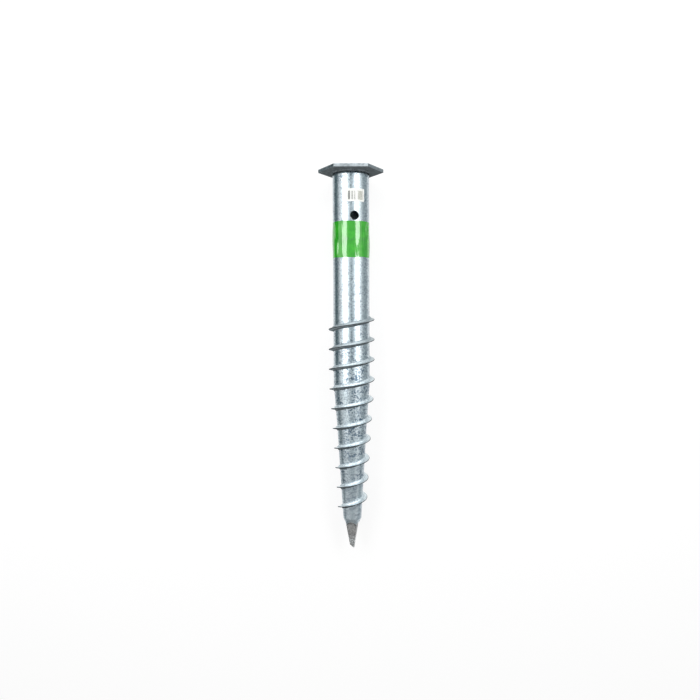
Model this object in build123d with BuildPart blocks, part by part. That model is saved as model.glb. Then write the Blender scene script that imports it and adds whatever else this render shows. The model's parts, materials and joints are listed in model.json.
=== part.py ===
"""Foundation ground screw with a hexagonal flange, hot-dip galvanised, 76 x 800 class.

A round tube is swaged to a cone at its lower end and forged to a square point. A steel strip
is wound round the lower half as a right-hand helical flight, welded on above and below. A
hexagonal plate closes the top, with a nut welded under it inside the tube. A cross hole goes
through the tube near the top, between a small paper label and a green film band.

The screw can't stand on its point, so it lies as it comes to rest: on one flat of the flange and
on a turn of the flight, with its point towards -Y. It is modelled upright first, with its axis on
Z and the flange's top face at z = 0, and laid down at the end. Depths are measured down from the
flange's top face. A bearing is an angle round the axis: 0 faces the upper side of the lying
screw, and 90 faces +X.
"""

import os
from math import atan2, cos, degrees, radians, sin

from build123d import *

# ---- driving dimensions, millimetres and degrees
screw_length = 800.0
tube_diameter = 76.1
wall = 3.0

upper_cone_length = 87.0
lower_cone_length = 199.0
point_length = 66.0
waist_diameter = 62.4
shoulder_diameter = 38.4
shoulder_height = 19.0
shoulder_end_diameter = 22.0
shoulder_rounding = 8.0
cavity_rise = 22.0

point_root_drop = 4.0
point_root_width = 25.0
point_tip_width = 6.8
point_bearing = -11.0
point_end_angle = 40.0
arch_drop = 3.0
arch_height = 14.0
arch_width = 24.0

flange_across_flats = 118.0
flange_thickness = 7.0
flange_corner_radius = 1.5
flange_edge_break = 0.5
bolt_clearance_diameter = 26.0
flange_weld_leg = 4.0

nut_across_flats = 36.0
nut_height = 21.5
nut_core_diameter = 20.75
nut_edge_break = 1.2
nut_weld_leg = 4.0

cross_hole_diameter = 19.0
cross_hole_depth = 100.0
cross_hole_bearing = 11.0

flight_pitch = 42.0
flight_turns = 9.66
flight_end_rise = 18.4
flight_top_bearing = 105.0
flight_height = 10.2
flight_root_thickness = 5.0
flight_edge_thickness = 1.8
upper_weld_leg = 4.0
lower_weld_leg = 2.5
weld_seat = 0.01

film_gap = 0.5
film_width = 75.0
film_thickness = 0.3

label_gap = 18.9
label_width = 40.6
label_height = 26.0
label_thickness = 0.2
label_bearing = 14.5

# ---- values that follow from them; depths are from the flange's top face
tube_radius = tube_diameter / 2
waist_radius = waist_diameter / 2
shoulder_radius = shoulder_diameter / 2
flange_apothem = flange_across_flats / 2
shoulder_depth = screw_length - point_length
waist_depth = shoulder_depth - lower_cone_length
cone_depth = waist_depth - upper_cone_length
cavity_end_depth = shoulder_depth - cavity_rise
point_root_depth = shoulder_depth + point_root_drop
flight_top_depth = shoulder_depth - flight_end_rise - flight_pitch * flight_turns
film_depth = cross_hole_depth + cross_hole_diameter / 2 + film_gap
label_depth = cross_hole_depth - cross_hole_diameter / 2 - label_gap - label_height
stations_per_turn = 24


def shaft_radius(depth):
    """The shaft's outer radius at a depth: the tube, then the two swaged cones."""
    stages = [
        (cone_depth, tube_radius),
        (waist_depth, waist_radius),
        (shoulder_depth, shoulder_radius),
    ]
    if depth <= cone_depth:
        return tube_radius
    for (top, top_radius), (low, low_radius) in zip(stages, stages[1:]):
        if depth <= low:
            break
    return top_radius + (low_radius - top_radius) * (depth - top) / (low - top)


def outward(bearing):
    """The unit vector square to the axis at a bearing."""
    return Vector(sin(radians(bearing)), -cos(radians(bearing)), 0)


def flight_depth(turn):
    """The depth of the flight's middle after so many turns down from its top end."""
    return flight_top_depth + flight_pitch * turn


def flight_section(turn):
    """Radius and depth of the strip's four corners, its inner side on the shaft."""
    depth = flight_depth(turn)
    root, edge = flight_root_thickness / 2, flight_edge_thickness / 2
    tip_radius = shaft_radius(depth) + flight_height
    return [
        (shaft_radius(depth + root), depth + root),
        (shaft_radius(depth - root), depth - root),
        (tip_radius, depth - edge),
        (tip_radius, depth + edge),
    ]


def weld_section(turn, leg, side):
    """Radius and depth of a fillet bead's three corners; side is -1 above the strip, 1 below."""
    depth = flight_depth(turn)
    root_depth = depth + side * (flight_root_thickness / 2 + weld_seat)
    root_radius = shaft_radius(root_depth)
    tip_radius = shaft_radius(depth) + flight_height
    share = leg / flight_height
    thinning = (flight_root_thickness - flight_edge_thickness) / 2 * share
    return [
        (root_radius, root_depth),
        (shaft_radius(root_depth + side * leg), root_depth + side * leg),
        (root_radius + share * (tip_radius - root_radius), root_depth - side * thinning),
    ]


def wound_solid(section):
    """A solid wound round the axis: ruled faces between the spirals that a section's corners draw.

    Every spiral has its stations at the same parameters, so each rule of a face stays in one
    plane through the axis, and the side on the shaft lies on the shaft's own straight rules.
    """
    count = round(flight_turns * stations_per_turn)
    steps = [station / count for station in range(count + 1)]
    rows = []
    for step in steps:
        turn = step * flight_turns
        out = outward(flight_top_bearing - 360 * turn)
        rows.append([out * radius - Vector(0, 0, depth) for radius, depth in section(turn)])
    spirals = [Edge.make_spline(list(corner), parameters=steps) for corner in zip(*rows)]
    faces = [
        Face.make_surface_from_curves(one, other)
        for one, other in zip(spirals, spirals[1:] + spirals[:1])
    ]
    faces += [Face(Wire.make_polygon(row, close=True)) for row in (rows[0], rows[-1])]
    return Solid(Shell(faces))


def sleeve(bearing, span, depth, height, thickness):
    """A thin curved piece on the tube's surface, from a depth down, over an arc of bearings."""
    with BuildPart() as piece:
        with BuildSketch(Plane.XY.offset(-depth - height)):
            with BuildLine():
                inner = CenterArc((0, 0), tube_radius, bearing - 90 - span / 2, span)
                outer = CenterArc(
                    (0, 0), tube_radius + thickness, bearing - 90 - span / 2, span
                )
                Line(inner @ 0, outer @ 0)
                Line(inner @ 1, outer @ 1)
            make_face()
        extrude(amount=height)
    return piece


# ---- shaft: tube, swaged cones and forged square point, one piece
with BuildPart() as shaft:
    with BuildSketch(Plane.XZ) as outline:
        with BuildLine():
            Polyline(
                (0, -flange_thickness),
                (tube_radius, -flange_thickness),
                (tube_radius, -cone_depth),
                (waist_radius, -waist_depth),
                (shoulder_radius, -shoulder_depth),
                (shoulder_end_diameter / 2, -shoulder_depth - shoulder_height),
                (0, -shoulder_depth - shoulder_height),
                close=True,
            )
        make_face()
        shoulder_corner = outline.vertices().sort_by_distance(
            (shoulder_radius, 0, -shoulder_depth)
        )[0]
        fillet(shoulder_corner, radius=shoulder_rounding)
    revolve(axis=Axis.Z)

    # the point, a tapered square bar
    with BuildSketch(Plane.XY.offset(-point_root_depth)):
        Rectangle(point_root_width, point_root_width, rotation=point_bearing)
    with BuildSketch(Plane.XY.offset(-screw_length)):
        Rectangle(point_tip_width, point_tip_width, rotation=point_bearing)
    loft(ruled=True)

    # the dies press each side flat below a round arch
    square_length = screw_length - point_root_depth
    taper = degrees(atan2((point_root_width - point_tip_width) / 2, square_length))
    for quarter in range(4):
        across = outward(point_bearing + 90 * quarter)
        root = across * (point_root_width / 2) - Vector(0, 0, point_root_depth)
        along = Vector(0, 0, 1).cross(across)
        face_normal = across.rotate(Axis((0, 0, 0), along), taper)
        with BuildSketch(Plane(origin=root, x_dir=along, z_dir=face_normal)):
            with BuildLine():
                apex = -arch_drop
                spring = apex - arch_height
                foot = -2 * square_length
                sides = Polyline(
                    (-arch_width / 2, spring),
                    (-arch_width / 2, foot),
                    (arch_width / 2, foot),
                    (arch_width / 2, spring),
                )
                ThreePointArc(sides @ 1, (0, apex), sides @ 0)
            make_face()
        extrude(amount=shoulder_radius, mode=Mode.SUBTRACT)

    # its end is sheared off at an angle, from the corner furthest to +X upwards
    corner_turn = radians(abs(point_bearing))
    corner_reach = point_tip_width / 2 * (cos(corner_turn) + sin(corner_turn))
    shear_point = Vector(corner_reach, 0, -screw_length)
    shear_normal = Vector(sin(radians(point_end_angle)), 0, cos(radians(point_end_angle)))
    split(bisect_by=Plane(origin=shear_point, z_dir=shear_normal), keep=Keep.TOP)

    # the hollow follows the outside at the tube's wall, and ends above the forged point
    with BuildSketch(Plane.XZ):
        with BuildLine():
            Polyline(
                (0, -flange_thickness),
                (tube_radius - wall, -flange_thickness),
                (tube_radius - wall, -cone_depth),
                (waist_radius - wall, -waist_depth),
                (shaft_radius(cavity_end_depth) - wall, -cavity_end_depth),
                (0, -cavity_end_depth),
                close=True,
            )
        make_face()
    revolve(axis=Axis.Z, mode=Mode.SUBTRACT)

    # cross hole through both walls
    with BuildSketch(
        Plane(origin=(0, 0, -cross_hole_depth), z_dir=outward(cross_hole_bearing))
    ):
        Circle(cross_hole_diameter / 2)
    extrude(amount=tube_diameter, both=True, mode=Mode.SUBTRACT)

# ---- helical flight and its weld beads
with BuildPart() as helix_flight:
    add(wound_solid(flight_section))

with BuildPart() as flight_upper_weld:
    add(wound_solid(lambda turn: weld_section(turn, upper_weld_leg, -1)))

with BuildPart() as flight_lower_weld:
    add(wound_solid(lambda turn: weld_section(turn, lower_weld_leg, 1)))

# ---- hexagonal flange plate, a flat towards the floor
with BuildPart() as flange_plate:
    with BuildSketch(Plane.XY.offset(-flange_thickness)) as hexagon:
        RegularPolygon(flange_apothem, 6, major_radius=False)
        fillet(hexagon.vertices(), radius=flange_corner_radius)
        Circle(bolt_clearance_diameter / 2, mode=Mode.SUBTRACT)
    extrude(amount=flange_thickness)
    top_face = flange_plate.faces().sort_by(Axis.Z)[-1]
    low_face = flange_plate.faces().sort_by(Axis.Z)[0]
    chamfer(top_face.outer_wire().edges() + low_face.outer_wire().edges(), flange_edge_break)

# ---- fillet weld round the tube under the plate
with BuildPart() as flange_weld:
    with BuildSketch(Plane.XZ):
        with BuildLine():
            Polyline(
                (tube_radius, -flange_thickness),
                (tube_radius + flange_weld_leg, -flange_thickness),
                (tube_radius, -flange_thickness - flange_weld_leg),
                close=True,
            )
        make_face()
    revolve(axis=Axis.Z)

# ---- nut under the plate inside the tube, and the weld round it
with BuildPart() as flange_nut:
    with BuildSketch(Plane.XY.offset(-flange_thickness - nut_height)):
        RegularPolygon(nut_across_flats / 2, 6, major_radius=False)
        Circle(nut_core_diameter / 2, mode=Mode.SUBTRACT)
    extrude(amount=nut_height)
    bore_edges = flange_nut.edges().filter_by(GeomType.CIRCLE)
    chamfer(bore_edges, nut_edge_break)

with BuildPart() as nut_weld:
    with BuildSketch(Plane.XY.offset(-flange_thickness)):
        RegularPolygon(nut_across_flats / 2 + nut_weld_leg, 6, major_radius=False)
    extrude(amount=-nut_weld_leg, taper=45)
    with BuildSketch(Plane.XY.offset(-flange_thickness)):
        RegularPolygon(nut_across_flats / 2, 6, major_radius=False)
    extrude(amount=-nut_weld_leg, mode=Mode.SUBTRACT)

# ---- green film band all round the tube, and the paper label
with BuildPart() as film_band:
    with BuildSketch(Plane.XY.offset(-film_depth - film_width)):
        Circle(tube_radius + film_thickness)
        Circle(tube_radius, mode=Mode.SUBTRACT)
    extrude(amount=film_width)

bar_label = sleeve(
    label_bearing,
    degrees(label_width / tube_radius),
    label_depth,
    label_height,
    label_thickness,
)

# ---- lie down: the flange's lower edge and the flight's most prominent low crest touch the floor
support_depth = flange_thickness - flange_edge_break
first_crest = (flight_top_bearing + 180) / 360
tilts = []
for crest in range(int(flight_turns - first_crest) + 1):
    touch_radius, touch_depth = flight_section(first_crest + crest)[3]
    tilts.append(atan2(flange_apothem - touch_radius, touch_depth - support_depth))
rest_tilt = min(tilts)
rest_height = flange_apothem * cos(rest_tilt) + support_depth * sin(rest_tilt)
laid = Pos(0, 0, rest_height) * Rot(X=degrees(rest_tilt) - 90)
head_y = (laid * flange_plate.part).bounding_box().max.Y
point_y = (laid * shaft.part).bounding_box().min.Y
resting = Pos(0, -(head_y + point_y) / 2, 0) * laid

pieces = {
    "shaft": shaft,
    "helix_flight": helix_flight,
    "flight_upper_weld": flight_upper_weld,
    "flight_lower_weld": flight_lower_weld,
    "flange_plate": flange_plate,
    "flange_weld": flange_weld,
    "flange_nut": flange_nut,
    "nut_weld": nut_weld,
    "film_band": film_band,
    "bar_label": bar_label,
}
os.makedirs("parts", exist_ok=True)
for name, piece in pieces.items():
    piece.part = resting * piece.part
    piece.part.label = name
    export_step(piece.part, f"parts/{name}.step")
print("rest tilt", round(degrees(rest_tilt), 4), "rest height", round(rest_height, 4))
print("flange top centre", resting.position, "rest angle", resting.orientation)
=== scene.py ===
import json
from math import cos, pi, radians, sin, tan

import bpy
import numpy as np
from mathutils import Matrix, Vector


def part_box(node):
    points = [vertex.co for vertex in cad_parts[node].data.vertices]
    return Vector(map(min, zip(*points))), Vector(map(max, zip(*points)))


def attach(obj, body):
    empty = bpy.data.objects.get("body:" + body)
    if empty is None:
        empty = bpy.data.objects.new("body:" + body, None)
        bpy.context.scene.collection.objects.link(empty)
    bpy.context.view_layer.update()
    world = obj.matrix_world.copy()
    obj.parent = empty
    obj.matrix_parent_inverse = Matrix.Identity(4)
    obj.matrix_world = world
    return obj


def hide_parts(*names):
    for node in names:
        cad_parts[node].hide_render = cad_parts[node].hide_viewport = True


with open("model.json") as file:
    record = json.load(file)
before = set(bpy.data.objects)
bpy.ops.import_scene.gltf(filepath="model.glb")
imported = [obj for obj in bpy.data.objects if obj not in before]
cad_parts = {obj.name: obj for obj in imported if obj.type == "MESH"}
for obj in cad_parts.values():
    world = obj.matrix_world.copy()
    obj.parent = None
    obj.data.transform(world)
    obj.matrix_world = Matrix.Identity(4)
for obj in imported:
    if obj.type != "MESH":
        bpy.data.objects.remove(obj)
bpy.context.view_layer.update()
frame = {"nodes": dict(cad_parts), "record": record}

# ---- the screw's own directions: DOWN runs from the flange to the point, FACING is up as it lies
MM = 0.001
MOUNTS = {mount["name"]: mount for mount in frame["record"]["mounts"]}
DOWN = -Vector(MOUNTS["flange_top"]["axis"])
ACROSS = Vector((1, 0, 0))
FACING = DOWN.cross(ACROSS)
HEAD = Vector(MOUNTS["flange_top"]["pos_m"])
HEAD.x = 0  # the mount stands to one side of the axis

# ---- sizes in metres; depths are from the flange's top face, bearings in degrees from FACING
TUBE_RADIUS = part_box("shaft")[1].x
FLANGE_THICKNESS = 7 * MM
CONES = [(448 * MM, TUBE_RADIUS), (535 * MM, 31.2 * MM), (734 * MM, 19.2 * MM)]

PITCH = 42 * MM
TURNS = 9.66
FLIGHT_TOP = 309.88 * MM
FLIGHT_TOP_BEARING = 105
FLIGHT_HEIGHT = 10.2 * MM
STRIP_ROOT = 5.0 * MM
STRIP_EDGE = 1.8 * MM
UPPER_LEG = 4.0 * MM
LOWER_LEG = 2.5 * MM
FLANGE_LEG = 4.0 * MM

NUT_FLATS = 36 * MM
NUT_HEIGHT = 21.5 * MM
THREAD_PITCH = 3 * MM
THREAD_MINOR = 10.375 * MM
THREAD_MAJOR = 12.0 * MM
BORE_BREAK = 1.2 * MM
CHAMFER_SLOPE = 0.58

POINT_BEARING = -11
ARCH_DEPTH = 741 * MM
ARCH_CURVE = 62

FILM_DEPTH = 110 * MM
FILM_WIDTH = 75 * MM
LABEL_DEPTH = 45.6 * MM
LABEL_SIZE = (40.6 * MM, 26 * MM)
LABEL_BEARING = 14.5
# where each printed bar starts and ends, as shares of the label's width
BARS = [
    (0.117, 0.160), (0.172, 0.217), (0.292, 0.305), (0.318, 0.335), (0.350, 0.363),
    (0.423, 0.435), (0.455, 0.474), (0.621, 0.640), (0.655, 0.668), (0.690, 0.715),
    (0.735, 0.747), (0.765, 0.790), (0.812, 0.825), (0.845, 0.858), (0.872, 0.885),
]

# ---- how finely the surfaces are drawn
STRIP_STATIONS = 96  # in each turn
BEAD_STATIONS = 440
FLANGE_BEAD_STATIONS = 720  # in the full circle
NUT_STATIONS = 144
NUT_LEVELS = 173
FILM_STATIONS = 960
FILM_LEVELS = 61
LABEL_GRID = (61, 25)
SHARP_ANGLE = radians(50)

# ---- lamps and cards: radiances, and shades as linear red, green and blue
WORLD_FILL = 0.25
FLOOR_HALF = 3.0
FLOOR_GLOW, FLOOR_PAINT, FLOOR_LIT = 0.84, 0.20, 0.8
STRIP_RADIANCE, FLANGE_RADIANCE = 4.2, 5.0
LEFT_SHADE = (0.055, 0.105, 0.12)
RIGHT_SHADE = (0.37, 0.42, 0.44)
MIDDLE_SHADE = (0.46, 0.52, 0.55)
POINT_SHADE = (0.32, 0.33, 0.33)

# ---- shades of the finishes, linear; the painted highlights and painted shade among them are noted
TUBE_PALE, TUBE_DIM = (0.69, 0.76, 0.79), (0.60, 0.68, 0.71)
# painted highlight: the pale end of the lower cone above the point
SHOULDER_HIGHLIGHT = (0.86, 0.95, 1.0)
CRYSTAL_DARK, CRYSTAL_LIGHT = (0.03, 0.06, 0.10), (0.20, 0.28, 0.36)
VEIL = (0.30, 0.33, 0.37)
SEAM_DARK = (0.10, 0.14, 0.15)
STEEL_DARK, STEEL_LIGHT = (0.22, 0.22, 0.22), (0.54, 0.53, 0.52)
# painted shadow along the arch, then pale zinc drops that also serve the painted highlight on the arch's
# lip
ARCH_SHADOW = (0.08, 0.08, 0.085)
DROP_AND_HIGHLIGHT_PALE = (0.86, 0.90, 0.91)
# the last of these is painted shade on the upper bead's first turns
BEAD_PALE, BEAD_DULL, BEAD_EARLY_SHADE = (0.78, 0.85, 0.88), (0.48, 0.55, 0.59), (0.34, 0.39, 0.41)
WELD_PALE, WELD_DULL = (0.72, 0.78, 0.80), (0.56, 0.62, 0.65)
# painted shade: the lower beads and the ring bead under the plate
UNDER_SHADE_PALE, UNDER_SHADE_DULL = (0.22, 0.25, 0.27), (0.09, 0.105, 0.11)
NUT_PALE, NUT_DULL = (0.62, 0.67, 0.70), (0.42, 0.47, 0.50)
# the last of these is painted shade on the upper flank's first turns
FLANK_PALE, FLANK_DIM, FLANK_EARLY_SHADE = (0.86, 0.93, 0.96), (0.66, 0.74, 0.77), (0.38, 0.42, 0.43)
# painted shade: the flight's underside, then its dark edge
UNDERSIDE_SHADE_PALE, UNDERSIDE_SHADE_DIM = (0.46, 0.51, 0.54), (0.32, 0.36, 0.38)
EDGE_SHADE_PALE, EDGE_SHADE_DARK = (0.085, 0.095, 0.10), (0.045, 0.052, 0.055)
# painted highlight on the plate's top and upper rim, painted shade on its lower edge and underside
PLATE_RIM_HIGHLIGHT, PLATE_EDGE = (0.62, 0.67, 0.69), (0.42, 0.46, 0.48)
PLATE_LOW_EDGE_SHADE, PLATE_UNDER_SHADE = (0.36, 0.40, 0.42), (0.19, 0.21, 0.22)
PLATE_STAIN = (0.76, 0.76, 0.76)
GREEN_DEEP, GREEN_BRIGHT, GREEN_MID_LINE = (0.018, 0.34, 0.003), (0.040, 0.49, 0.008), (0.03, 0.20, 0.03)
PAPER_DIM, PAPER_WHITE = (0.80, 0.81, 0.77), (0.90, 0.91, 0.88)
INK_DARK, INK_FADED = (0.05, 0.06, 0.06), (0.20, 0.21, 0.15)

# a ramp reads from 0 to 1, so it takes short distances in centimetres
IN_CM = 100


# ---- shapes
def place(radius, bearing, depth):
    """Points from a radius, a bearing in degrees and a depth: the head, plus the depth along DOWN,
    plus the radius along the direction that the bearing gives between FACING and ACROSS."""
    radius, bearing, depth = np.broadcast_arrays(radius, np.radians(bearing), depth)
    axes = np.array((ACROSS, FACING, DOWN))
    parts = np.stack((radius * np.sin(bearing), radius * np.cos(bearing), depth), -1)
    return np.array(HEAD) + parts @ axes


def shaft_radius(depth):
    """The shaft's outer radius at each depth: straight lines between the cones' ends."""
    depths, radii = zip(*CONES)
    return np.interp(depth, depths, radii)


def make_piece(name, points, nodes, material, ring=False, uv=None):
    """A closed surface from a grid of points, one row for each station of a closed profile.

    Quads join each row to the next, and each row's end to its start. Where the rows make a ring,
    the last row joins the first, and otherwise the two end rows are closed by a face each.
    """
    rows, columns = points.shape[:2]
    joined = rows if ring else rows - 1
    row, column = np.meshgrid(np.arange(joined), np.arange(columns), indexing="ij")
    here, after = row * columns, (row + 1) % rows * columns
    beside = (column + 1) % columns
    corners = [here + column, after + column, after + beside, here + beside]
    quads = np.stack(corners, -1).reshape(-1, 4)
    first, last = range(columns), range((rows - 1) * columns, rows * columns)
    ends = [] if ring else [list(first), list(last)[::-1]]
    mesh = bpy.data.meshes.new(name)
    mesh.from_pydata(points.reshape(-1, 3).tolist(), [], quads.tolist() + ends)
    mesh.update()
    if uv is not None:
        layer = mesh.uv_layers.new(name="surface")
        index = np.empty(len(mesh.loops), np.int32)
        mesh.loops.foreach_get("vertex_index", index)
        layer.data.foreach_set("uv", uv.reshape(-1, 2)[index].astype(np.float32).ravel())
    mesh.polygons.foreach_set("use_smooth", np.ones(len(mesh.polygons), bool))
    turn_outwards(mesh)
    mesh.set_sharp_from_angle(angle=SHARP_ANGLE)
    mesh.materials.append(material)
    piece = bpy.data.objects.new(name, mesh)
    bpy.context.scene.collection.objects.link(piece)
    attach(piece, "root")
    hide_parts(*nodes)
    return piece


def grid_uv(points):
    """A map with u along each row of a grid of points and v from row to row, both from 0 to 1."""
    rows, columns = points.shape[:2]
    v, u = np.meshgrid(np.linspace(0, 1, rows), np.linspace(0, 1, columns), indexing="ij")
    return np.stack((u, v), -1)


def turn_outwards(mesh):
    """Flips all faces where the volume that they enclose comes out negative."""
    mesh.calc_loop_triangles()
    corners = np.empty(len(mesh.loop_triangles) * 3, np.int32)
    mesh.loop_triangles.foreach_get("vertices", corners)
    points = np.empty(len(mesh.vertices) * 3, np.float32)
    mesh.vertices.foreach_get("co", points)
    a, b, c = points.reshape(-1, 3)[corners].reshape(-1, 3, 3).astype(float).transpose(1, 0, 2)
    if np.einsum("ij,ij->", a, np.cross(b, c)) < 0:
        mesh.flip_normals()


def wave(phase):
    """Rounded ripples: the height of half a sine's arch, repeated, from 0 to 1."""
    return np.abs(np.sin(pi * phase))


def wound(profile, stations_per_turn):
    """Winds a closed profile round the shaft.

    The profile gives radii and depths for a column of turns, and each station's points lie at
    the bearing where the flight has come to after so many turns, right-handed.
    """
    count = round(TURNS * stations_per_turn) + 1
    turn = np.linspace(0, TURNS, count)[:, None]
    radius, depth = profile(turn)
    return place(radius, FLIGHT_TOP_BEARING - 360 * turn, depth)


def strip_profile(turn):
    """The strip's section: two straight flanks that thin outwards, joined by a half-round edge."""
    middle = FLIGHT_TOP + PITCH * turn
    edge = STRIP_EDGE / 2
    arc = np.radians(np.linspace(-90, 90, 9))
    steps = np.array([0, 0.25, 0.5, 0.75])
    rounded = (FLIGHT_HEIGHT - edge + edge * np.cos(arc)) / FLIGHT_HEIGHT
    along = np.concatenate((steps, rounded, steps[::-1]))
    flank = STRIP_ROOT / 2 + (edge - STRIP_ROOT / 2) * steps
    across = np.concatenate((-flank, edge * np.sin(arc), flank[::-1]))
    depth = middle + across
    base = shaft_radius(middle)
    radius = base + FLIGHT_HEIGHT * along
    radius[:, [0, -1]] = shaft_radius(depth[:, [0, -1]])
    return radius, depth


def bead_profile(leg, side, crown, ripple):
    """A fillet bead's section: along the shaft, then a bulged face up to the strip's flank.

    The face is an arc between the two toes, full for a positive crown and hollow for a negative
    one. Ripples lift it in steps along the weld, each drawn out into a crescent because the
    middle of the face runs ahead of its toes.
    """
    def profile(turn):
        root = FLIGHT_TOP + PITCH * turn + side * STRIP_ROOT / 2
        base = shaft_radius(root)
        across = np.linspace(0, 1, 9)
        travel = turn * 2 * pi * base / ripple
        crescent = 0.35 * np.sin(pi * across)
        wander = 0.10 * np.sin(travel * 0.37) + 0.07 * np.sin(travel * 0.113 + 2)
        reach = leg * (0.93 + 0.6 * wander)
        bulge = leg * (0.12 * crown + 0.08 * wave(travel + crescent)) * np.sin(pi * across)
        thinning = (STRIP_ROOT - STRIP_EDGE) / 2 * reach / FLIGHT_HEIGHT
        out = reach * across + bulge * 0.7
        down = (reach * (1 - across)) - thinning * across + bulge * 0.7
        depth = np.concatenate((root + side * down, root), 1)
        radius = np.concatenate((base + out, base), 1)
        radius[:, 0] = shaft_radius(depth[:, 0])
        return radius, depth

    return profile


def flange_bead():
    """The round fillet weld under the plate: a hollow quarter round between the tube's radius and
    the plate, with the same crescent ripples. Its two legs swell and shrink together by sums of
    sines. The shaft's top end is rounded off and set back, so it stands about 1 mm clear of this."""
    bearing = np.linspace(0, 360, FLANGE_BEAD_STATIONS, endpoint=False)[:, None]
    around = np.radians(bearing)
    swing = np.linspace(0, pi / 2, 9)
    leg = FLANGE_LEG * (0.84 + 0.05 * np.sin(3 * around) + 0.03 * np.sin(7 * around + 1))
    ripple = 0.05 * FLANGE_LEG * wave(bearing / 360 * 92 + 0.35 * np.sin(2 * swing)) * np.sin(2 * swing)
    out = TUBE_RADIUS + leg * (1 - np.cos(swing)) + ripple
    down = FLANGE_THICKNESS + leg * (1 - np.sin(swing)) + ripple
    radius = np.concatenate((out, TUBE_RADIUS + 0 * bearing), 1)
    return place(radius, bearing, np.concatenate((down, FLANGE_THICKNESS + 0 * bearing), 1))


def threaded_nut():
    """A hexagon nut with its thread: the profile runs up the bore and back down the flats.

    The bore's radius is a trapezoid wave of depth over pitch less bearing over a full turn, so
    that its grooves climb as a helix. The flats' radius is half the width over the cosine of the
    angle from the nearest flat's middle. Cones break the bore's ends.
    """
    bearing = np.linspace(0, 360, NUT_STATIONS, endpoint=False)[:, None]
    bore = np.linspace(0, NUT_HEIGHT, NUT_LEVELS)
    phase = (bore / THREAD_PITCH + bearing / 360) % 1
    groove = np.clip(1.6 - np.abs(phase - 0.5) * 4.4, 0, 1)
    radius = THREAD_MINOR + (THREAD_MAJOR - THREAD_MINOR) * groove
    to_end = np.minimum(bore, NUT_HEIGHT - bore)
    radius = np.maximum(radius, THREAD_MINOR + BORE_BREAK - to_end)
    to_flat = (bearing + 30) % 60 - 30
    flats = NUT_FLATS / 2 / np.cos(np.radians(to_flat))
    rim = np.minimum(flats, NUT_FLATS / 2 * 1.10)
    shoulder = (flats - rim) * CHAMFER_SLOPE + 0.02 * MM
    outer = np.concatenate((rim, flats, flats, rim), 1)
    ends = np.concatenate((NUT_HEIGHT + 0 * rim, NUT_HEIGHT - shoulder, shoulder, 0 * rim), 1)
    radius = np.concatenate((radius, outer), 1)
    depth = FLANGE_THICKNESS + np.concatenate((bore + 0 * bearing, ends), 1)
    return place(radius, bearing, depth)


def film_sleeve():
    """The film round the tube: a closed thin sleeve whose outside is lifted by creases.

    A crease is a narrow bell across a line that runs down the film with a lean and a bow; its
    height swells between the crease's two ends. The film's edges wander by sums of sines, and one
    overlap step runs down its back.
    """
    bearing = np.linspace(-180, 180, FILM_STATIONS, endpoint=False)[:, None]
    down = np.linspace(0, 1, FILM_LEVELS)
    # each has its bearing and lean in degrees, start and end, width in degrees, height in mm
    creases = [
        (-60, 6, 0.03, 0.50, 2.6, 1.25), (-46, -5, 0.50, 1.00, 2.6, 1.15),
        (-31, 4, 0.05, 0.95, 1.6, 0.36), (-12, -4, 0.45, 1.00, 1.8, 0.14),
        (15, 9, 0.60, 0.98, 1.3, 0.48), (22, -9, 0.62, 0.97, 1.3, 0.48),
        (27, 3, 0.00, 0.50, 1.2, 0.22), (44, -6, 0.20, 0.75, 1.5, 0.26),
        (53, 7, 0.02, 0.46, 2.6, 1.15), (63, -5, 0.05, 0.62, 2.6, 1.25),
        (85, 6, 0.30, 1.00, 2.0, 0.70), (120, -9, 0.00, 0.70, 2.2, 0.70),
        (158, 7, 0.40, 0.90, 2.0, 0.60), (-84, -6, 0.10, 0.80, 2.0, 0.70),
        (-118, 8, 0.35, 1.00, 2.0, 0.70), (-150, -5, 0.00, 0.60, 1.9, 0.60),
    ]
    lift = np.zeros((bearing.shape[0], down.shape[0]))
    for middle, lean, start, end, width, height in creases:
        line = middle + lean * (down - start) + 0.8 * np.sin(5 * down + middle)
        swell = np.clip((down - start) / (end - start), 0, 1)
        lift += height * MM * np.sin(pi * swell) ** 0.7 * np.exp(-(((bearing - line) / width) ** 2))
    around = np.radians(bearing)
    lift += 0.05 * MM * (1 + np.sin(3 * around + 4 * down) * np.sin(5 * around - 3 * down + 1))
    lift += 0.10 * MM * (bearing > 172)
    top = 0.35 * MM * np.sin(2 * around) + 0.25 * MM * np.sin(5 * around + 1)
    low = 0.45 * MM * np.sin(3 * around + 2) + 0.35 * MM * np.sin(8 * around)
    depth = FILM_DEPTH + 0.6 * MM + top + (FILM_WIDTH - 1.4 * MM + low - top) * down
    skin = TUBE_RADIUS + 0.12 * MM + lift
    inner = TUBE_RADIUS + 0.02 * MM
    radius = np.concatenate((skin, np.full((bearing.shape[0], 2), inner)), 1)
    depth = np.concatenate((depth, depth[:, -1:], depth[:, :1]), 1)
    return place(radius, bearing, depth)


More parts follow.
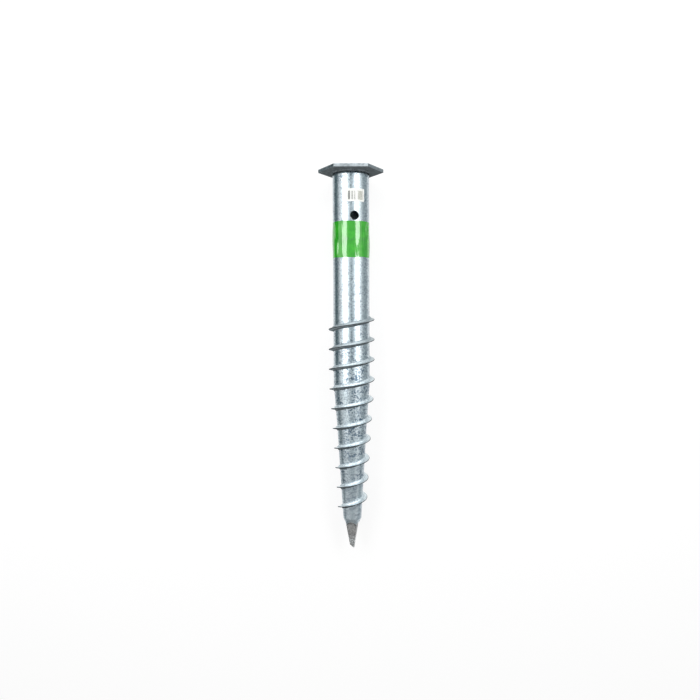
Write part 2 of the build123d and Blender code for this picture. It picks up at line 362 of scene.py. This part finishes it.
def label_sheet():
    """The paper label: a thin curved slab with soft corners, lifted a little along its edges.

    Its outline's half height falls near the ends along a quarter round, and its skin rises by the
    fourth power of the distance from the middle. u runs along it and v down it.
    """
    width, height = LABEL_SIZE
    u, v = (np.linspace(0, 1, count) for count in LABEL_GRID)
    u = u[:, None]
    corner = 1.2 * MM
    from_end = np.minimum(np.minimum(u, 1 - u) * width, corner)
    round_off = corner - np.sqrt(np.maximum(corner**2 - (corner - from_end) ** 2, 0))
    depth = LABEL_DEPTH + round_off + (height - 2 * round_off) * v
    edge = np.maximum(np.abs(2 * u - 1) ** 6, np.abs(2 * v - 1) ** 8)
    skin = TUBE_RADIUS + 0.12 * MM + 0.10 * MM * edge * (0.6 + 0.4 * np.sin(9 * u + 5 * v))
    bearing = LABEL_BEARING + np.degrees(width / TUBE_RADIUS) * (u - 0.5)
    inner = np.full_like(depth, TUBE_RADIUS + 0.01 * MM)
    radius = np.concatenate((skin, inner), 1)
    uv = np.stack(np.broadcast_arrays(u, np.concatenate((v, v[::-1]))), -1)
    return place(radius, bearing, np.concatenate((depth, depth[:, ::-1]), 1)), uv


# ---- studio
def place_camera():
    """The camera stands over the screw, level with the upper turns of the flight."""
    distance, depth, aside = 1.3808, 0.3052, -0.0011
    pitch, roll, yaw = radians(2.937), radians(-0.271), radians(-0.096)
    turn = (
        Matrix.Rotation(-yaw, 3, "Z")
        @ Matrix.Rotation(-pitch, 3, "X")
        @ Matrix.Rotation(-roll, 3, "Y")
    )
    screw = Matrix((ACROSS, -FACING, -DOWN)).transposed()
    right, ahead, up = (screw @ turn.col[k] for k in range(3))
    data = bpy.data.cameras.new("camera")
    data.lens = 33.69
    data.sensor_width = 36.0
    camera = bpy.data.objects.new("camera", data)
    bpy.context.scene.collection.objects.link(camera)
    basis = Matrix((right, up, -ahead)).transposed()
    spot = HEAD + ACROSS * aside + FACING * distance + DOWN * depth
    camera.matrix_world = Matrix.Translation(spot) @ basis.to_4x4()
    bpy.context.scene.camera = camera


def seen_white(nodes, links):
    """1 for the rays that should meet the white background: camera, glossy and transmission rays."""
    path = nodes.new("ShaderNodeLightPath")
    total = path.outputs["Is Camera Ray"]
    for other in ("Is Glossy Ray", "Is Transmission Ray"):
        add = nodes.new("ShaderNodeMath")
        add.operation = "MAXIMUM"
        links.new(total, add.inputs[0])
        links.new(path.outputs[other], add.inputs[1])
        total = add.outputs[0]
    return total


def make_world(fill):
    """A white surround that lights the screw as a plain fill."""
    world = bpy.data.worlds.new("surround")
    world.use_nodes = True
    nodes, links = world.node_tree.nodes, world.node_tree.links
    background = nodes["Background"]
    mix = nodes.new("ShaderNodeMix")
    mix.data_type = "RGBA"
    mix.inputs["A"].default_value = (fill, fill, fill, 1)
    mix.inputs["B"].default_value = (1, 1, 1, 1)
    links.new(seen_white(nodes, links), mix.inputs["Factor"])
    links.new(mix.outputs["Result"], background.inputs["Color"])
    bpy.context.scene.world = world


def sheet_object(name, corners, material):
    """A flat four-cornered sheet through its corners, in the order given."""
    mesh = bpy.data.meshes.new(name)
    mesh.from_pydata([tuple(corner) for corner in corners], [], [(0, 1, 2, 3)])
    mesh.materials.append(material)
    piece = bpy.data.objects.new(name, mesh)
    bpy.context.scene.collection.objects.link(piece)
    return piece


def make_floor(half_size, glow, paint):
    """A plain white floor. Its shadows stay, between the glow and the lit paint."""
    material = bpy.data.materials.new("floor_paint")
    material.use_nodes = True
    nodes, links = material.node_tree.nodes, material.node_tree.links
    nodes.remove(nodes["Principled BSDF"])
    seen, lit, light = (
        nodes.new("ShaderNodeBsdfDiffuse"),
        nodes.new("ShaderNodeBsdfDiffuse"),
        nodes.new("ShaderNodeEmission"),
    )
    seen.inputs["Color"].default_value = (paint, paint, paint, 1)
    lit.inputs["Color"].default_value = (FLOOR_LIT, FLOOR_LIT, FLOOR_LIT, 1)
    light.inputs["Color"].default_value = (glow, glow, glow, 1)
    white, mix = nodes.new("ShaderNodeAddShader"), nodes.new("ShaderNodeMixShader")
    links.new(seen.outputs[0], white.inputs[0])
    links.new(light.outputs[0], white.inputs[1])
    links.new(seen_white(nodes, links), mix.inputs[0])
    links.new(lit.outputs[0], mix.inputs[1])
    links.new(white.outputs[0], mix.inputs[2])
    links.new(mix.outputs[0], nodes["Material Output"].inputs["Surface"])
    size = half_size
    corners = [(-size, -size, 0), (size, -size, 0), (size, size, 0), (-size, size, 0)]
    sheet_object("floor", corners, material)


def softbox(name, bearing, spread, reach, start, end, radiance):
    """A strip lamp along the screw, at a bearing round it and a reach from it, between two depths."""
    data = bpy.data.lights.new(name, "AREA")
    data.shape = "RECTANGLE"
    data.size = 2 * reach * tan(radians(spread / 2))
    data.size_y = end - start
    data.energy = radiance * pi * data.size * data.size_y
    lamp = bpy.data.objects.new(name, data)
    bpy.context.scene.collection.objects.link(lamp)
    away = ACROSS * sin(radians(bearing)) + FACING * cos(radians(bearing))
    side = away.cross(DOWN)
    basis = Matrix((side, DOWN, away)).transposed()
    spot = HEAD + DOWN * ((start + end) / 2) + away * reach
    lamp.matrix_world = Matrix.Translation(spot) @ basis.to_4x4()
    lamp.visible_camera = False


def flag(name, corners, shade):
    """A card of one shade in the studio, which only reflections show."""
    material = bpy.data.materials.new(name)
    material.use_nodes = True
    nodes, links = material.node_tree.nodes, material.node_tree.links
    nodes.remove(nodes["Principled BSDF"])
    glow = nodes.new("ShaderNodeEmission")
    glow.inputs["Color"].default_value = (*shade, 1)
    links.new(glow.outputs[0], nodes["Material Output"].inputs["Surface"])
    card = sheet_object(name, corners, material)
    card.visible_camera = False
    card.visible_diffuse = False
    card.visible_shadow = False


def make_studio():
    """Two strip lamps beside the camera and one beyond the flange, with four cards round them.

    Two cards rise outwards from the floor beside the screw, one lies level over it, and one
    stands beyond its point.
    """
    make_world(WORLD_FILL)
    make_floor(FLOOR_HALF, FLOOR_GLOW, FLOOR_PAINT)
    strips = {"reach": 1.5, "start": -0.9, "end": 0.62, "radiance": STRIP_RADIANCE}
    softbox("left_strip", bearing=-38, spread=24, **strips)
    softbox("right_strip", bearing=39, spread=22, **strips)
    softbox(
        "flange_strip", bearing=0, spread=60, reach=1.9, start=-1.9, end=-1.1, radiance=FLANGE_RADIANCE
    )
    low, near, far, out = 0.002, -1.6, 1.6, 2.4
    left, left_rise = -0.118, 0.25
    right, right_rise = 0.139, 0.9
    over, over_left, over_right = 2.4, -0.75, 0.95
    lean = near + 0.4
    flag(
        "left_flag",
        [(left, near, low), (left, far, low), (-out, far, left_rise), (-out, near, left_rise)],
        LEFT_SHADE,
    )
    flag(
        "right_flag",
        [(right, near, low), (right, far, low), (out, far, right_rise), (out, near, right_rise)],
        RIGHT_SHADE,
    )
    flag(
        "middle_flag",
        [
            (over_left, near, over), (over_right, near, over),
            (over_right, far, over), (over_left, far, over),
        ],
        MIDDLE_SHADE,
    )
    flag(
        "point_flag",
        [(-out, near, 0.0), (out, near, 0.0), (out, lean, over), (-out, lean, over)],
        POINT_SHADE,
    )


# ---- finishes
class Finish:
    """A node material being made: its shader, its coordinates and short calls for its nodes.

    Stops of ramps over the depth are in metres from the plate's top face.
    """

    def __init__(self, name, **sockets):
        self.material = bpy.data.materials.new(name)
        self.material.use_nodes = True
        self.nodes, self.links = self.material.node_tree.nodes, self.material.node_tree.links
        self.shader = self.nodes["Principled BSDF"]
        for socket, value in sockets.items():
            self.shader.inputs[socket.replace("_", " ")].default_value = value
        self.coordinates = self.nodes.new("ShaderNodeTexCoord")
        self.place = self.coordinates.outputs["Object"]

    def feed(self, value, socket):
        """Links an output, or sets a number, on a socket."""
        if isinstance(value, bpy.types.NodeSocket):
            self.links.new(value, socket)
        else:
            socket.default_value = value

    def stretched(self, scale):
        """The coordinates times a scale for each axis."""
        node = self.nodes.new("ShaderNodeMapping")
        node.inputs["Scale"].default_value = scale
        self.links.new(self.place, node.inputs["Vector"])
        return node.outputs["Vector"]

    def noise(self, scale, detail=3.0, roughness=0.55, place=None):
        node = self.nodes.new("ShaderNodeTexNoise")
        node.inputs["Scale"].default_value = scale
        node.inputs["Detail"].default_value = detail
        node.inputs["Roughness"].default_value = roughness
        self.links.new(place or self.place, node.inputs["Vector"])
        return node.outputs["Fac"]

    def cells(self, scale):
        """Cells of random colours, like the crystals in a zinc coat."""
        node = self.nodes.new("ShaderNodeTexVoronoi")
        node.inputs["Scale"].default_value = scale
        self.links.new(self.place, node.inputs["Vector"])
        return node.outputs["Color"]

    def grey(self, colour):
        node = self.nodes.new("ShaderNodeRGBToBW")
        self.links.new(colour, node.inputs[0])
        return node.outputs[0]

    def apart(self, vector):
        node = self.nodes.new("ShaderNodeSeparateXYZ")
        self.links.new(vector, node.inputs[0])
        return node.outputs

    def depth(self):
        """The distance down the screw from the plate's top face, in metres."""
        return self.along(DOWN)

    def along(self, direction):
        """How far each point lies from the screw's axis along a direction square to it."""
        node = self.nodes.new("ShaderNodeVectorMath")
        node.operation = "DOT_PRODUCT"
        self.links.new(self.place, node.inputs[0])
        node.inputs[1].default_value = tuple(direction)
        return self.math("SUBTRACT", node.outputs["Value"], HEAD.dot(direction))

    def arch(self):
        """The depth where each pressed side of the point begins: a parabola over the distance
        from the side's middle, which is the smaller of the two distances from the point's planes."""
        turn = radians(POINT_BEARING)
        face = FACING * cos(turn) + ACROSS * sin(turn)
        side = ACROSS * cos(turn) - FACING * sin(turn)
        from_face = self.math("ABSOLUTE", self.along(face))
        from_side = self.math("ABSOLUTE", self.along(side))
        off = self.math("MINIMUM", from_face, from_side)
        rise = self.times(self.times(off, off), ARCH_CURVE)
        return self.plus(rise, ARCH_DEPTH)

    def early_shade(self):
        """How much painted shade greys the flight's first turns: 0.75 at its top, none after three
        turns.
        """
        return self.ramp(self.depth(), [(0.335, 0.75), (0.44, 0.0)])

    def seam(self, depth):
        """1 in broken dashes along the tube's welded seam, on its facing side, fading downwards."""
        x, _, z = self.apart(self.place)
        near = self.ramp(self.times(self.math("ABSOLUTE", x), IN_CM), [(0.06, 1.0), (0.19, 0.0)])
        facing = self.math("GREATER_THAN", z, 0.07)
        dashes = self.noise(1.0, 2, 0.7, self.stretched((60, 260, 60)))
        dashes = self.ramp(dashes, [(0.44, 0.0), (0.56, 1.0)])
        along = self.ramp(depth, [(0.045, 1.0), (0.08, 0.6), (0.42, 0.6), (0.47, 0.0)])
        return self.times(self.times(near, facing), self.times(dashes, along))

    def ramp(self, value, stops, interpolation="LINEAR"):
        """A ramp through (position, grey or colour) stops."""
        node = self.nodes.new("ShaderNodeValToRGB")
        node.color_ramp.interpolation = interpolation
        elements = node.color_ramp.elements
        while len(elements) < len(stops):
            elements.new(0.5)
        for element, (position, shade) in zip(elements, stops):
            element.position = position
            element.color = (*shade, 1) if isinstance(shade, tuple) else (shade,) * 3 + (1,)
        self.links.new(value, node.inputs["Fac"])
        return node.outputs["Color"]

    def blend(self, factor, first, second, mode="MIX"):
        node = self.nodes.new("ShaderNodeMix")
        node.data_type = "RGBA"
        node.blend_type = mode
        self.feed(factor, node.inputs["Factor"])
        self.feed((*first, 1) if isinstance(first, tuple) else first, node.inputs["A"])
        self.feed((*second, 1) if isinstance(second, tuple) else second, node.inputs["B"])
        return node.outputs["Result"]

    def math(self, operation, first, second=0.0):
        node = self.nodes.new("ShaderNodeMath")
        node.operation = operation
        self.feed(first, node.inputs[0])
        self.feed(second, node.inputs[1])
        return node.outputs[0]

    def times(self, first, second):
        return self.math("MULTIPLY", first, second)

    def plus(self, first, second):
        return self.math("ADD", first, second)

    def mottle(self, crystal_size, crystal_share, cloud_scale, detail, roughness):
        """A share of crystals of one size, and the rest of soft clouds, from 0 to 1."""
        crystals = self.times(self.grey(self.cells(crystal_size)), crystal_share)
        clouds = self.noise(cloud_scale, detail, roughness)
        return self.plus(crystals, self.times(clouds, 1 - crystal_share))

    def bump(self, height, depth, under=None):
        """Tilts the surface as if it were raised by height times depth, in metres."""
        node = self.nodes.new("ShaderNodeBump")
        node.inputs["Distance"].default_value = depth
        self.links.new(height, node.inputs["Height"])
        if under is not None:
            self.links.new(under, node.inputs["Normal"])
        return node.outputs["Normal"]

    def connect(self, **sockets):
        for socket, value in sockets.items():
            self.links.new(value, self.shader.inputs[socket.replace("_", " ")])


def zinc_relief(zinc, shaken, across, fine):
    """The bumps of dipped zinc: runs that shake the reflections' edges, over a fine grain."""
    runs = zinc.noise(1.0, 2, 0.5, zinc.stretched(across))
    grain = zinc.noise(fine, 2, 0.6)
    return zinc.bump(grain, shaken * 0.35 * MM, zinc.bump(runs, shaken * MM))


def shaft_coat(zinc, depth):
    """The zinc's colour down the shaft, and how far dark crystals cover each place.

    The crystals come in speckles, more on the cones than on the tube, and more in patches that
    clouds and streaks make together. A grey veil lies over the lower cone, and a painted highlight pales
    its end above the point.
    """
    clouds = zinc.noise(38, 3, 0.6)
    speckle = zinc.noise(1.0, 3, 0.65, zinc.stretched((250, 285, 250)))
    speckle = zinc.ramp(speckle, [(0.46, 0.0), (0.54, 1.0)])
    pale = zinc.blend(zinc.ramp(clouds, [(0.4, 0.0), (0.65, 1.0)]), TUBE_DIM, TUBE_PALE)
    dull = zinc.blend(zinc.grey(zinc.cells(270)), CRYSTAL_DARK, CRYSTAL_LIGHT)
    streaks = zinc.noise(1.0, 3, 0.6, zinc.stretched((35, 150, 35)))
    patch = zinc.plus(zinc.times(clouds, 0.5), zinc.times(streaks, 0.5))
    patch = zinc.ramp(patch, [(0.43, 0.38), (0.55, 1.0)])
    spread = zinc.ramp(
        depth,
        [
            (0.008, 0.95), (0.035, 0.55), (0.30, 0.60),
            (0.43, 1.0), (0.58, 1.0), (0.66, 0.75), (0.71, 0.50),
        ],
    )
    amount = zinc.times(zinc.times(speckle, patch), spread)
    lower = [(0.42, 0.0), (0.50, 0.10), (0.67, 0.30), (0.70, 0.35), (0.735, 0.60)]
    veil = zinc.times(patch, zinc.ramp(depth, lower))
    # painted highlight: a paler band at the end of the lower cone
    pale = zinc.blend(zinc.ramp(depth, [(0.68, 0.0), (0.72, 0.45)]), pale, SHOULDER_HIGHLIGHT)
    colour = zinc.blend(amount, zinc.blend(veil, pale, VEIL), dull)
    return zinc.blend(zinc.seam(depth), colour, SEAM_DARK), amount


def bare_point(zinc, depth, colour):
    """The colour with the point's bare steel laid over it, and where that steel is.

    A dark line of painted shadow and a pale lip of painted highlight run along the arch where it begins,
    and pale drops lie on its tip.
    """
    below = zinc.times(zinc.math("SUBTRACT", depth, zinc.arch()), IN_CM)
    point = zinc.ramp(below, [(0.0, 0.0), (0.08, 1.0)])
    # painted shadow: a dark line along the arch, in place of the shadow under its ledge
    arch_shadow_edges = [(0.12, 0.0), (0.20, 1.0), (0.34, 1.0), (0.46, 0.0)]
    line = zinc.ramp(zinc.plus(below, 0.2), arch_shadow_edges)
    steel = zinc.ramp(zinc.noise(210, 4, 0.75), [(0.38, 0.0), (0.62, 1.0)])
    colour = zinc.blend(point, colour, zinc.blend(steel, STEEL_DARK, STEEL_LIGHT))
    colour = zinc.blend(zinc.times(line, 0.9), colour, ARCH_SHADOW)
    # painted highlight: a pale lip just above the arch
    lip_edges = [(0.08, 0.0), (0.15, 1.0), (0.24, 1.0), (0.28, 0.0)]
    lip = zinc.ramp(zinc.plus(below, 0.3), lip_edges)
    drops = zinc.ramp(zinc.noise(430, 1, 0.5), [(0.54, 0.0), (0.59, 1.0)])
    drops = zinc.times(drops, zinc.ramp(depth, [(0.768, 0.0), (0.782, 1.0)]))
    # the pale mark is the painted highlight on the lip together with the zinc drops on the tip
    pale = zinc.math("MAXIMUM", zinc.times(lip, 0.7), drops)
    return zinc.blend(pale, colour, DROP_AND_HIGHLIGHT_PALE), point


def shaft_zinc():
    """Bright zinc on the tube, crystals and grey patches on the cones, bare dull steel at the point,
    with a painted shadow line and painted highlights at the arch.
    """
    zinc = Finish("shaft_zinc", Metallic=1.0)
    depth = zinc.depth()
    colour, amount = shaft_coat(zinc, depth)
    colour, point = bare_point(zinc, depth, colour)
    cone = zinc.ramp(depth, [(0.395, 0.0), (0.475, 1.0)])
    rough = zinc.grey(zinc.blend(cone, (0.29, 0.29, 0.29), (0.37, 0.37, 0.37)))
    rough = zinc.plus(rough, zinc.times(amount, 0.10))
    rough = zinc.plus(rough, zinc.times(zinc.grey(point), 0.14))
    lie = zinc_relief(zinc, 0.24, (210, 560, 210), 620)
    patches = zinc.times(zinc.noise(230, 3, 0.6), zinc.grey(cone))
    lie = zinc.bump(patches, 0.10 * MM, lie)
    zinc.connect(Base_Color=colour, Roughness=rough, Normal=lie)
    return zinc.material


def plain_zinc(name, pale, dull, roughness, size=330, relief=0.05, metal=1.0, start=None):
    """Zinc with crystals of one size between two greys, and a light relief.

    A start shade, which is painted shade, greys it on the flight's first turns.
    """
    zinc = Finish(name, Metallic=metal, Specular_IOR_Level=0.0)
    tone = zinc.mottle(size, 0.4, 70, 4, 0.65)
    colour = zinc.blend(zinc.ramp(tone, [(0.3, 0.0), (0.65, 1.0)]), dull, pale)
    if start:
        colour = zinc.blend(zinc.early_shade(), colour, start)
    rough = zinc.plus(zinc.times(tone, 0.16), roughness - 0.08)
    lie = zinc_relief(zinc, relief, (260, 260, 260), 800)
    zinc.connect(Base_Color=colour, Roughness=rough, Normal=lie)
    return zinc.material


def strip_zinc():
    """The flight's zinc: bright on the upper flank, greyed by painted shade on the first turns, with
    painted shade darkening the edge and the underside, which are not metallic.
    """
    zinc = Finish("strip_zinc", Specular_IOR_Level=0.0)
    round_profile = zinc.apart(zinc.coordinates.outputs["UV"])[0]
    bright = zinc.ramp(round_profile, [(0.22, 1.0), (0.34, 0.0)])
    rim = zinc.ramp(round_profile, [(0.30, 0.0), (0.36, 1.0), (0.72, 1.0), (0.78, 0.0)])
    tone = zinc.ramp(zinc.noise(190, 4, 0.65), [(0.35, 0.0), (0.65, 1.0)])
    # painted shade greys the upper flank on the first turns
    top = zinc.blend(zinc.early_shade(), zinc.blend(tone, FLANK_DIM, FLANK_PALE), FLANK_EARLY_SHADE)
    # painted shade: the underside's darker, non-metallic colour
    low = zinc.blend(tone, UNDERSIDE_SHADE_DIM, UNDERSIDE_SHADE_PALE)
    # painted shade: the dark edge stands in for the shadow line under each turn
    blotchy = zinc.blend(tone, EDGE_SHADE_DARK, EDGE_SHADE_PALE)
    zinc.connect(
        Base_Color=zinc.blend(bright, zinc.blend(rim, low, blotchy), top),
        Roughness=zinc.plus(zinc.times(tone, 0.10), 0.46),
        Metallic=zinc.grey(bright),
        Normal=zinc_relief(zinc, 0.06, (220, 220, 220), 800),
    )
    return zinc.material


def plate_zinc():
    """The plate's zinc: a painted highlight on the top and its upper rim, grey on the edge, and painted
    shade underneath, where it is not metallic.
    """
    zinc = Finish("plate_zinc", Specular_IOR_Level=0.0)
    through = zinc.math("DIVIDE", zinc.depth(), 2 * FLANGE_THICKNESS)
    tone = zinc.ramp(zinc.mottle(240, 0.45, 110, 4, 0.7), [(0.32, 0.0), (0.66, 1.0)])
    low_edge, under = 0.478, 0.492
    # painted highlight at the top and upper rim, painted shade on the lower edge and underside; the
    # metal ends where the painted shade begins
    levels = [(0.03, PLATE_RIM_HIGHLIGHT), (0.14, PLATE_EDGE), (low_edge, PLATE_LOW_EDGE_SHADE), (under, PLATE_UNDER_SHADE)]
    edge = zinc.ramp(through, levels)
    lie = zinc_relief(zinc, 0.07, (200, 200, 200), 700)
    zinc.connect(
        Base_Color=zinc.blend(tone, zinc.blend(1.0, edge, PLATE_STAIN, "MULTIPLY"), edge),
        Roughness=zinc.plus(zinc.times(tone, 0.12), 0.38),
        Metallic=zinc.grey(zinc.ramp(through, [(low_edge, 1.0), (under, 0.0)])),
        Normal=lie,
    )
    return zinc.material


def film_green():
    """Glossy green film: deep colour with faint stains, and a darker line round it at mid-height."""
    film = Finish("film_green", Roughness=0.08, IOR=2.0)
    mid_line = [(0.1440, 0.0), (0.1455, 1.0), (0.1475, 1.0), (0.1500, 0.0)]
    blotchy = film.ramp(film.noise(70, 3, 0.6), [(0.45, 0.0), (0.6, 1.0)])
    mid_line = film.times(film.ramp(film.depth(), mid_line), blotchy)
    stains = film.ramp(film.noise(46, 4, 0.65), [(0.4, 0.0), (0.7, 1.0)])
    green = film.blend(stains, GREEN_DEEP, GREEN_BRIGHT)
    green = film.blend(film.times(mid_line, 0.85), green, GREEN_MID_LINE)
    lie = film.bump(film.noise(1.0, 3, 0.6, film.stretched((120, 45, 120))), 0.20 * MM)
    film.connect(Base_Color=green, Normal=lie)
    return film.material


def label_paper():
    """Off-white paper with a generic row of printed bars, fainter towards one end."""
    paper = Finish("label_paper", Roughness=0.5)
    along, down = paper.apart(paper.coordinates.outputs["UV"])[:2]
    row = paper.ramp(down, [(0.0, 0.0), (0.19, 1.0), (0.86, 0.0)], "CONSTANT")
    stops = [(0.0, 0.0)]
    for start, end in BARS:
        stops += [(start, 1.0), (end, 0.0)]
    bars = paper.times(paper.ramp(along, stops, "CONSTANT"), row)
    white = paper.blend(paper.noise(90, 3, 0.6), PAPER_DIM, PAPER_WHITE)
    ink = paper.blend(paper.ramp(along, [(0.5, 0.0), (0.6, 1.0)]), INK_DARK, INK_FADED)
    lie = paper.bump(paper.noise(500, 3, 0.6), 0.02 * MM)
    paper.connect(Base_Color=paper.blend(bars, white, ink), Normal=lie)
    return paper.material


def give(node, material):
    """Puts a material on a CAD node."""
    materials = frame["nodes"][node].data.materials
    materials.clear()
    materials.append(material)


def dress():
    """Gives the CAD nodes that stay their finishes, and puts the detailed pieces over the others."""
    bead = plain_zinc("bead_zinc", BEAD_PALE, BEAD_DULL, 0.60, relief=0.07, start=BEAD_EARLY_SHADE)
    weld = plain_zinc("weld_zinc", WELD_PALE, WELD_DULL, 0.45)
    # painted shade: darker, non-metallic zinc on the lower beads and the ring bead under the plate
    under = plain_zinc("under_weld_painted_shade", UNDER_SHADE_PALE, UNDER_SHADE_DULL, 0.55, metal=0.0)
    nut = plain_zinc("nut_zinc", NUT_PALE, NUT_DULL, 0.42, size=260)
    give("shaft", shaft_zinc())
    give("flange_plate", plate_zinc())
    give("nut_weld", weld)
    strip, finish = wound(strip_profile, STRIP_STATIONS), strip_zinc()
    make_piece("flight_strip", strip, ["helix_flight"], finish, uv=grid_uv(strip))
    upper = wound(bead_profile(UPPER_LEG, side=-1, crown=1, ripple=3.1 * MM), BEAD_STATIONS)
    lower = wound(bead_profile(LOWER_LEG, side=1, crown=-0.6, ripple=2.9 * MM), BEAD_STATIONS)
    make_piece("upper_bead", upper, ["flight_upper_weld"], bead)
    make_piece("lower_bead", lower, ["flight_lower_weld"], under)
    make_piece("flange_bead", flange_bead(), ["flange_weld"], under, ring=True)
    make_piece("threaded_nut", threaded_nut(), ["flange_nut"], nut, ring=True)
    make_piece("creased_film", film_sleeve(), ["film_band"], film_green(), ring=True)
    label, uv = label_sheet()
    make_piece("printed_label", label, ["bar_label"], label_paper(), uv=uv)


place_camera()
make_studio()
dress()
bpy.context.scene.view_settings.view_transform = "Standard"
